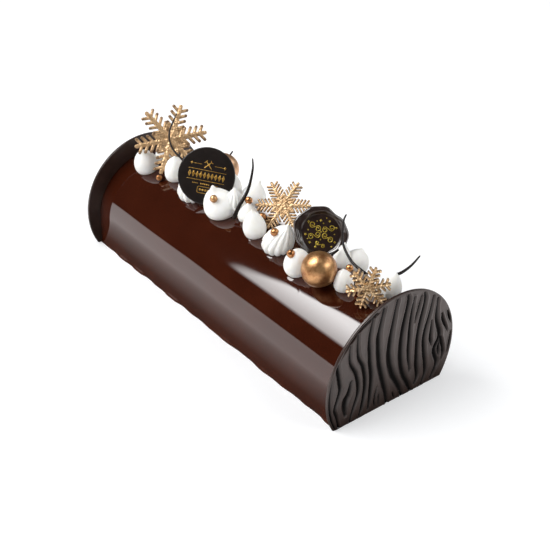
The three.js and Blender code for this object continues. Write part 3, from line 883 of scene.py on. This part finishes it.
# A box with round corners, only its line
def frameShape(centre, halfWide, halfHigh, corner, half):
    def distance(x, y):
        right = np.abs(x - centre[0]) - halfWide + corner
        up = np.abs(y - centre[1]) - halfHigh + corner
        outside = np.hypot(np.maximum(right, 0), np.maximum(up, 0)) + np.minimum(np.maximum(right, up), 0)
        return np.abs(outside - corner) - half
    return distance


# All within |x| / halfWide + |y| / halfHigh = 1, as a distance
def diamondShape(centre, halfWide, halfHigh):
    slope = hypot(halfWide, halfHigh)
    return lambda x, y: (np.abs(x - centre[0]) * halfHigh + np.abs(y - centre[1]) * halfWide
                         - halfWide * halfHigh) / slope


printSettings = {
    "proud": 0.09,       # over the plaque's face, mm
    "spacing": 0.13,
    "edge": 0.12,
    "lean": -9,          # of the whole print, degrees
    "thin": 0.14,        # half widths of lines, mm
    "rule": 0.16,
    "scroll": 0.24,
    "dot": 0.4,
}


# Each shape becomes its own thin plate, laid on the plaque's face
def addPrint(name, shapes, middle, axes, reach, material):
    s = printSettings
    turn = radians(s["lean"])
    lean = np.array([[cos(turn), sin(turn), 0], [-sin(turn), cos(turn), 0], [0, 0, 1]])
    plates = []
    for shape in shapes:
        points, faces = plateSurface(
            shape, lambda x, y: 0 * x, reach, s["spacing"], 2 * s["proud"], s["edge"])
        if len(points):
            plates.append((middle + points @ lean @ axes, faces))
    addPiece(name, plates, material)


def dotShape(centre, radius=printSettings["dot"]):
    return ringShape(centre, 0, radius)


# Between two rules a row of diamonds; over it a crossed sprig between stars, under it rows of dots
def plaquePrint():
    thin, rule = printSettings["thin"], printSettings["rule"]
    shapes = [starShape((-10.6, 6.6), 1.1), starShape((10.6, 6.6), 1.1)]
    for side in (-1, 1):
        shapes.append(lineShape([(side * 9.2, 6.6), (side * 4.2, 6.6)], thin))
        shapes.append(lineShape([(side * 2.2, 4.6), (side * 0.3, 6.6), (-side * 1.6, 8.6)], 0.22))
        shapes.append(lineShape([(-side * 1.6, 8.6), (-side * 2.6, 8.0)], 0.2))
        shapes.append(lineShape([(-side * 1.6, 8.6), (-side * 1.2, 9.5)], 0.2))
        shapes.append(lineShape([(side * 4.3, -5.6), (side * 8.0, -5.6)], thin))
    shapes += [lineShape([(-11.8, up), (11.8, up)], rule) for up in (3.2, -3.4)]
    shapes += [diamondShape((across, -0.1), 0.95, 2.1) for across in np.linspace(-10.8, 10.8, 10)]
    shapes += [dotShape((across, -5.6), 0.46) for across in np.linspace(-2.4, 2.4, 5)]
    shapes.append(frameShape((0.2, -9.3), 4.4, 2.0, 1.0, rule))
    shapes += [dotShape((across, -9.3), 0.66) for across in np.linspace(-2.4, 2.8, 4)]
    return shapes


# A scroll: a slanted stroke whose two ends curl in as spirals, the radius falling evenly over a turn
# and a quarter
def scrollShape(middle, wide, curl, flip):
    share = np.linspace(0, 1, 9)
    turn = flip * (pi / 2 - share * 2.3 * pi)
    radius = curl * (1 - 0.66 * share)
    end = np.stack([wide + radius * np.cos(turn), flip * -0.55 * curl + radius * np.sin(turn)], -1)
    return lineShape(np.vstack([-end[::-1], end]) + np.array(middle), printSettings["scroll"], 70)


sealScrolls = [   # middle, half of the stroke, radius of the curls, and which way they turn
    ((-4.0, 3.2), 1.7, 1.75, 1), ((3.6, 3.3), 1.7, 1.75, -1), ((-3.6, -1.9), 1.7, 1.7, -1),
    ((4.0, -1.8), 1.6, 1.7, 1), ((0.6, -6.4), 1.7, 1.1, 1),
]
sealDots = [(-0.2, 0.8), (0.2, 5.9), (0.3, -3.6), (-7.6, 0.6), (7.6, 0.9)]
sealStars = [     # across, up, size
    (-8.3, 5.2, 1.0), (-1.6, 7.2, 1.1), (3.6, 7.6, 0.9), (8.0, 4.6, 1.0), (-8.6, -2.2, 1.1),
    (-5.4, -6.3, 1.1), (8.6, -3.6, 1.0), (7.2, -6.4, 0.8), (-1.8, -8.2, 1.0), (-3.6, 6.4, 0.6),
    (1.4, 9.2, 0.6), (-7.0, -4.4, 0.6),
]


# Scrolls with stars and dots scattered round them
def sealPrint():
    shapes = [scrollShape(*scroll) for scroll in sealScrolls] + [dotShape(place) for place in sealDots]
    return shapes + [starShape((across, up), size) for across, up, size in sealStars]


plaqueFront = plaqueMiddle + plaqueSettings["thickness"] / 2 * plaqueAxes[2]
addPrint("plaqueGoldPrint", plaquePrint(), plaqueFront, plaqueAxes, 14, goldPrint)
addPrint("sealGoldPrint", sealPrint(), sealMiddle, sealAxes, 11, yellowPrint)
print("plaques printed")


# The glazed log

glazeSettings = {
    "fineAround": 34,        # degrees each side of the ridge that are finely stepped
    "fineStep": 0.46,        # mm
    "lipHeight": 0.32,       # of the glaze where it climbs at a topping's foot, mm
    "lipReach": 0.55,
    "sway": 0.05,            # slow unevenness of the coat, mm
    "wrinkleHeight": 0.035,
    "wrinkleWidth": 0.32,
    "footSpread": 1.6,       # how fast the pooled foot thins upwards, mm
    "below": 0.25,           # the coat's mean under the CAD face
    "endFade": 6,            # where it evens out, towards an end disc and down each side, mm
    "sideFade": 8,
}
# Wrinkles: the foot each runs round, how far out, and the middle and half of its turn in degrees
wrinkles = [
    ("gold_ball_1", 13.6, -100, 42),
    ("gold_ball_1", 15.0, -84, 34),
    ("gold_ball_1", 16.8, -62, 22),
    ("meringue_04", 11.0, -70, 38),
    ("meringue_07", 9.2, -60, 40),
    ("rosette_3", 12.2, -75, 30),
]


# Places round the section from one foot over the top to the other, as an angle on the round top and a
# drop below the axis on the straight sides
def sectionSteps():
    s = glazeSettings
    fine = degrees(s["fineStep"] / logRadius)
    middle = np.arange(-s["fineAround"], s["fineAround"], fine)
    flank = np.linspace(s["fineAround"], 90, 17)
    angles = np.concatenate([-flank[::-1], middle[1:], flank])
    downs = axisHeight * np.linspace(0, 1, 13)[1:] ** 0.75
    around = np.concatenate([np.full(len(downs), -90.0), angles, np.full(len(downs), 90.0)])
    down = np.concatenate([downs[::-1], np.zeros(len(angles)), downs])
    return around, down


# Steps along and round the glaze from a topping's foot
def fromFoot(along, arc, foot):
    return along - foot["along"], arc - logRadius * radians(foot["around"])


# What the coat stands out by at a place: slow waves, at each foot a lip that falls off outwards as
# exp(-distance / reach), and thin wrinkles that run round a foot through part of a turn
def glazeRise(along, around):
    s = glazeSettings
    arc = logRadius * np.radians(around)
    rise = s["sway"] * wander(5, along, arc, waves=9, slowest=0.006, fastest=0.025)
    for foot in feet.values():
        away = np.hypot(*fromFoot(along, arc, foot)) - 0.93 * foot["radius"]
        rise = rise + s["lipHeight"] * np.exp(-np.maximum(away, 0) / s["lipReach"])
    for node, reach, middle, spread in wrinkles:
        stepAlong, stepArc = fromFoot(along, arc, feet[node])
        off = np.hypot(stepAlong, stepArc) - reach
        turn = np.degrees(np.arctan2(stepArc, stepAlong)) - middle
        fade = np.clip(1 - (turn / spread) ** 2, 0, 1)
        rise = rise + s["wrinkleHeight"] * fade * np.exp(-((off / s["wrinkleWidth"]) ** 2))
    return rise


# The coat stands out from the round top by its rise. Down the straight sides its foot swells by a spread
# that falls off upwards as exp(-height / footSpread), more in one place and less in another.
def logSurface():
    s = glazeSettings
    around, down = sectionSteps()
    alongs = np.linspace(logLow[0], logHigh[0], logSettings["rows"])
    around, along = np.meshgrid(around, alongs)
    down = np.broadcast_to(down, around.shape)
    edge = np.minimum(along - logLow[0], logHigh[0] - along)
    fade = softStep(0, s["endFade"], edge) * softStep(axisHeight, axisHeight - s["sideFade"], down)
    rise = glazeRise(along, around) * fade
    height = np.maximum(axisHeight - down, 0)
    spread = (logHigh[1] - logRadius) * np.exp(-height / s["footSpread"]) * (down > 0)
    ragged = wander(9, along, around * 0, waves=6, slowest=0.02, fastest=0.12).clip(-1, 1)
    pooled = spread * (0.62 + 0.38 * ragged)
    out = logRadius + rise + pooled - s["below"]
    turn = np.radians(around)
    y = out * np.sin(turn)
    z = np.where(down > 0, height, axisHeight + out * np.cos(turn))
    return np.stack([along, y, z], -1), pooled


rings, pooled = logSurface()
surface = closedRings(rings)
pool = np.concatenate([softStep(0.3, 1.3, pooled).ravel(), [0, 0]])
addPiece("glazedLog", surface, glaze, ["log"], {"pool": pool})
print("log glazed", rings.shape)


# End discs

discSettings = {
    "halfHeight": 48.3,      # of the whole oval, mm
    "rows": 118,
    "columns": 236,
    "edge": 0.5,             # rounding of the rim, mm
    "depth": 1.5,            # of a groove
    "wider": 1.6,            # than the drawn width, as its sides slope
    "lip": 0.28,             # that its two edges stand up
    "plainRim": 1.2,
    "crowding": 0.86,        # of the columns towards the rim, 1 being the most
    "below": 0.25,           # the face under the CAD disc's
    "waves": 0.07,           # unevenness of the face
}
# Each groove from bottom to top: the width at its thickest, then [across, up] places
grooves = [
    (1.7, [(-40.5, 1), (-43, 6), (-45.6, 16), (-46.2, 28), (-44.4, 41)]),
    (1.9, [(-37.5, 0), (-40, 9), (-41.5, 15), (-39, 26), (-39.5, 31), (-42, 42), (-42, 47), (-38, 52),
           (-33, 57), (-28, 61), (-17, 66)]),
    (3.0, [(-33.5, 7), (-34.5, 13), (-34, 18), (-32, 22), (-31, 28)]),
    (1.8, [(-30, 0), (-28, 8), (-25.3, 19), (-27.5, 31), (-33, 42), (-34, 53)]),
    (2.0, [(-23, 1), (-21.5, 7), (-20.3, 20), (-22.5, 33), (-27.5, 44), (-29, 58)]),
    (2.2, [(-16.3, 3), (-15.8, 10), (-16, 24), (-18.5, 38), (-20.3, 53), (-19, 65)]),
    (2.7, [(-1.8, 0), (-3.8, 9), (-7.5, 20), (-11, 32), (-13.5, 47), (-13.5, 55), (-11.5, 67)]),
    (2.9, [(10, 0), (6, 9), (0, 20), (-3.8, 33), (-4.3, 47), (-2, 69)]),
    (2.7, [(17, 0), (14, 6), (8.5, 17), (5.3, 30), (4.5, 45), (6.5, 65), (5.8, 69)]),
    (2.0, [(14.5, 15.5), (11.8, 27), (10.5, 40), (10, 55), (11, 66)]),
    (1.4, [(13.5, 49), (14.5, 55), (16.5, 65)]),
    (2.3, [(19.5, 4), (21, 9), (19, 20), (17.5, 40), (19.8, 60), (19, 66)]),
    (2.1, [(25, 0), (27.5, 10), (24, 26), (22.8, 37), (25, 50), (26.5, 61)]),
    (1.9, [(30, 27), (28.5, 32), (27.5, 44)]),
    (2.5, [(33, 2), (36.5, 11), (33, 22), (36, 31), (31.5, 44), (30.5, 58)]),
    (1.7, [(40.5, 13), (41, 17), (38, 27), (36, 31)]),
    (1.8, [(37.5, 17), (36.5, 22), (37, 26)]),
    (1.6, [(42, 32), (37, 41), (35.5, 46)]),
    (1.5, [(44, 37), (40, 46)]),
    (1.5, [(45, 16), (45.3, 22), (45.3, 30)]),
    (1.0, [(-11.5, 2), (-12, 8), (-11, 16)]),
    (0.8, [(-8.5, 2), (-9, 10)]),
    (0.8, [(4, 1), (2, 6)]),
]


# How deep a face is sunk at a place: along each groove's line, across its width, as a round-bottomed
# channel, and a low lip on both sides
def grooveDepth(across, up):
    s = discSettings
    sunk = np.zeros_like(across)
    lips = np.zeros_like(across)
    for width, path in grooves:
        line = smoothCurve(path, np.linspace(0, 1, 120))
        rising = np.maximum.accumulate(line[:, 1] + np.arange(120) * 1e-4)
        slope = np.gradient(line[:, 0]) / np.gradient(rising)
        share = np.interp(up, rising, np.linspace(0, 1, 120))
        taper = np.sin(pi * np.clip(share, 0.06, 0.94)) ** 0.6
        half = s["wider"] * width / 2 * (0.35 + 0.65 * taper)
        middle = np.interp(up, rising, line[:, 0])
        lean = np.interp(up, rising, np.hypot(1, np.clip(slope, -3, 3)))
        beyond = np.maximum(rising[0] - up, 0) + np.maximum(up - rising[-1], 0)
        away = np.hypot(np.abs(across - middle) / lean, beyond) / half
        sunk = np.maximum(sunk, (0.5 + 0.5 * taper) * softStep(1.2, 0.1, away))
        lips = np.maximum(lips, np.exp(-(((away - 1.4) / 0.24) ** 2)))
    return sunk, s["lip"] * lips * (1 - sunk)


# A disc seen from its grooved side: rows at heights up the oval, columns across it. Near the rim both
# faces fall back by a quarter round. Front and back share their rows, so each row is one closed ring.
def discSurface(seed):
    s = discSettings
    low, high = boxOf("end_disc_near")
    halfWide, top, thick = high[1], high[2], high[0] - low[0]
    middleUp = top - s["halfHeight"]
    rise = np.linspace(asin(-middleUp / s["halfHeight"]), pi / 2 - 0.004, s["rows"])
    widest = s["crowding"] * pi / 2
    share = np.sin(np.linspace(-widest, widest, s["columns"])) / sin(widest)
    across, up = np.meshgrid(share, middleUp + s["halfHeight"] * np.sin(rise))
    across = across * halfWide * np.cos(rise)[:, None]
    level = np.hypot(across / halfWide, (up - middleUp) / s["halfHeight"])
    slant = s["halfHeight"] / halfWide
    size = np.maximum(level, 0.1)
    steep = np.hypot(across / size * slant, (up - middleUp) / size / slant)
    inward = np.maximum((1 - level) * halfWide * s["halfHeight"] / steep, 0)
    fall = s["edge"] * (1 - np.sqrt(1 - (1 - np.clip(inward / s["edge"], 0, 1)) ** 2))
    sunk, lips = grooveDepth(across, up)
    field = softStep(s["plainRim"] * 0.5, s["plainRim"] * 1.4, inward)
    sunk, lips = sunk * field, lips * field
    uneven = s["waves"] * wander(seed, across, up, waves=8, slowest=0.02, fastest=0.12) * field
    front = np.minimum(thick - fall - s["depth"] * sunk + lips + uneven - s["below"], thick)
    back = fall + 0.03 * wander(seed + 1, across, up, slowest=0.02, fastest=0.08)
    ringX, ringY, ringZ, dark = (
        np.concatenate([ahead, behind[:, ::-1]], 1)
        for ahead, behind in ((front, back), (across, across), (up, up), (sunk, 0 * sunk)))
    points, faces = closedRings(np.stack([ringX, ringY, ringZ], -1))
    return points, faces, np.concatenate([dark.ravel(), [0, 0]])


for node, name, end, seed in (("end_disc_near", "nearDisc", 1, 130), ("end_disc_far", "farDisc", -1, 137)):
    points, faces, dark = discSurface(seed)
    inner = min(abs(corner[0]) for corner in boxOf(node))
    placed = (points + [inner, 0, 0]) * [end, end, 1]
    addPiece(name, (placed, faces), discChocolate, [node], {"sunk": dark})
print("end discs moulded")


# Studio: a pale floor, a tall window that only the mirror of the glaze sees, and soft lights that only
# matt surfaces see

studioSettings = {
    "floorSize": 6.0,
    "floorSeen": 0.34,       # glow of the floor to the camera, on top of the light that falls on it
    "floorMirrored": 0.7,    # its glow in a mirror
    "floorColour": (0.75, 0.755, 0.765, 1),
    "shadeColour": (0.13, 0.12, 0.11, 1),
    "mirrorTint": (1, 0.91, 0.88, 1),
    "shade": (0.004, 0.032),             # where the painted shade that a mirror sees round the cake starts and ends, m
    "windowStrength": 12.0,
    "windowFacing": (-53, 36, 1.2),      # compass angle, height angle, metres from the log
    "windowCorner": (0.095, -0.3),       # in the window's plane, m
    "windowSides": (1.1, 0.7),
    "windowTurn": 117.3,                 # of its long side in that plane
    "windowAim": (0.06, 0, 0.05),
    "windowFades": (0.1, 0.03),          # soft edges of its end and its side, m
    "windowDim": 0.42,                   # the near end's share of the strength
    "lampAim": (0, 0, 0.05),
    "skyColour": (0.97, 0.985, 1.0, 1),
    "skyDiffuse": 0.3,
    "skyMirror": 0.02,
}


def addQuad(name, corners, material):
    mesh = bpy.data.meshes.new(name)
    mesh.from_pydata(corners, [], [(0, 1, 2, 3)])
    mesh.materials.append(material)
    quad = newObject(name, mesh)
    return quad


# The floor glows a little by itself. In a mirror it is tinted pink and, as painted shade, darker close to
# the cake: its colour and glow rise to the whole over the shade's width, measured out from the log's
# footprint.
def addFloor():
    s = studioSettings
    material, tree, shader = newMaterial("paleFloor", roughness=0.9, specular=0.1)
    place = addNode(tree, "ShaderNodeSeparateXYZ", {0: objectPlace(tree)}).outputs
    endways, sideways = (
        mathNode(tree, "SUBTRACT", mathNode(tree, "ABSOLUTE", place[axis], 0.0), logHigh[axis] * mm)
        for axis in (0, 1))
    away = mathNode(tree, "MAXIMUM", sideways, endways)
    lit = ranged(tree, away, *s["shade"])
    mirrored = mathNode(tree, "MULTIPLY", lit, s["floorMirrored"])
    path = addNode(tree, "ShaderNodeLightPath").outputs["Is Glossy Ray"]
    # painted shade on the floor, seen only in a mirror
    shaded = mathNode(tree, "MULTIPLY", path, mathNode(tree, "SUBTRACT", 1.0, lit))
    colour = mixedColour(tree, shaded, s["floorColour"], s["shadeColour"])
    tree.links.new(colour, shader.inputs["Base Color"])
    seen = mathNode(tree, "MULTIPLY", mathNode(tree, "SUBTRACT", 1.0, path), s["floorSeen"])
    glow = mathNode(tree, "ADD", seen, mathNode(tree, "MULTIPLY", path, mirrored))
    tint = mixedColour(tree, path, (1, 1, 1, 1), s["mirrorTint"])
    tree.links.new(tint, shader.inputs["Emission Color"])
    tree.links.new(glow, shader.inputs["Emission Strength"])
    half = s["floorSize"] / 2
    addQuad("floor", [(-half, -half, 0), (half, -half, 0), (half, half, 0), (-half, half, 0)], material)


# The matrix of something whose own axes point these ways, at a place in metres
def placedAs(axes, place):
    columns = [*axes, place]
    return Matrix([[float(column[row]) for column in columns] for row in range(3)] + [[0, 0, 0, 1]])


# Brightest at its far end, dimmer and soft-edged at the near one
def addWindow():
    s = studioSettings
    compass, height, distance = s["windowFacing"]
    right, upward, out = facingAxes(compass, height)
    corner = s["windowAim"] + np.array([*s["windowCorner"], distance]) @ [right, upward, out]
    turn = radians(s["windowTurn"])
    long = cos(turn) * right + sin(turn) * upward
    across = sin(turn) * right - cos(turn) * upward
    material = bpy.data.materials.new("windowGlow")
    material.use_nodes = True
    tree = material.node_tree
    tree.nodes.clear()
    place = addNode(tree, "ShaderNodeSeparateXYZ", {0: objectPlace(tree)}).outputs
    edge, feather = (ranged(tree, place[axis], 0.0, s["windowFades"][axis]) for axis in (0, 1))
    dim = s["windowDim"] * s["windowStrength"]
    slope = ranged(tree, place["X"], 0.0, 0.6, dim, s["windowStrength"])
    strength = mathNode(tree, "MULTIPLY", slope, mathNode(tree, "MULTIPLY", edge, feather))
    glow = addNode(tree, "ShaderNodeEmission", {"Color": (1, 1, 1, 1), "Strength": strength})
    output = addNode(tree, "ShaderNodeOutputMaterial")
    tree.links.new(glow.outputs[0], output.inputs["Surface"])
    wide, high = s["windowSides"]
    window = addQuad("window", [(0, 0, 0), (wide, 0, 0), (wide, high, 0), (0, high, 0)], material)
    window.matrix_world = placedAs([long, across, np.cross(long, across)], corner)
    window.visible_camera = False
    window.visible_diffuse = False
    window.visible_shadow = False
    window.visible_transmission = False


# A rectangular lamp at a place in metres, aimed at the cake. Mirrored ones show in the gold and the seal.
def addLamp(name, place, size, power, mirrored=False):
    light = bpy.data.lights.new(name, "AREA")
    light.shape = "RECTANGLE"
    light.size, light.size_y = size
    light.energy = power
    lamp = newObject(name, light)
    back = Vector(place) - Vector(studioSettings["lampAim"])
    aim = back.to_track_quat("Z", "Y").to_matrix().to_4x4()
    lamp.matrix_world = Matrix.Translation(place) @ aim
    lamp.visible_glossy = mirrored


# The sky lights matt surfaces evenly, but a mirror sees it dark, as in a studio
def addSky():
    s = studioSettings
    world = bpy.data.worlds.new("studio")
    bpy.context.scene.world = world
    world.use_nodes = True
    tree = world.node_tree
    background = tree.nodes["Background"]
    path = addNode(tree, "ShaderNodeLightPath")
    strength = ranged(tree, path.outputs["Is Glossy Ray"], 0, 1, s["skyDiffuse"], s["skyMirror"])
    strength = mathNode(tree, "MAXIMUM", strength, path.outputs["Is Camera Ray"])
    background.inputs["Color"].default_value = s["skyColour"]
    tree.links.new(strength, background.inputs["Strength"])


addFloor()
addWindow()
addSky()
addLamp("keyLamp", (-0.55, -0.95, 1.1), (1.3, 1.3), 25)
addLamp("fillLamp", (1.05, 0.62, 0.95), (0.8, 0.7), 6.2, mirrored=True)
addLamp("backLamp", (0.3, 1.3, 0.95), (1.0, 0.7), 5, mirrored=True)


# Camera

cameraSettings = {
    "azimuth": 50.15, "elevation": 32.052, "roll": 2.179, "distance": 0.576358, "lens": 64.48,
    "target": (0.0382, -0.014134, 0.045), "sensor": 36,
}


# The camera looks at its target from a compass angle and a height angle, rolled round its view line
def addCamera():
    s = cameraSettings
    axes = facingAxes(s["azimuth"], s["elevation"], s["roll"])
    camera = newObject("camera", bpy.data.cameras.new("camera"))
    camera.data.lens = s["lens"]
    camera.data.sensor_width = s["sensor"]
    camera.matrix_world = placedAs(axes, s["target"] + s["distance"] * axes[2])
    bpy.context.scene.camera = camera


addCamera()
bpy.context.scene.view_settings.view_transform = "Standard"
print("studio lit")
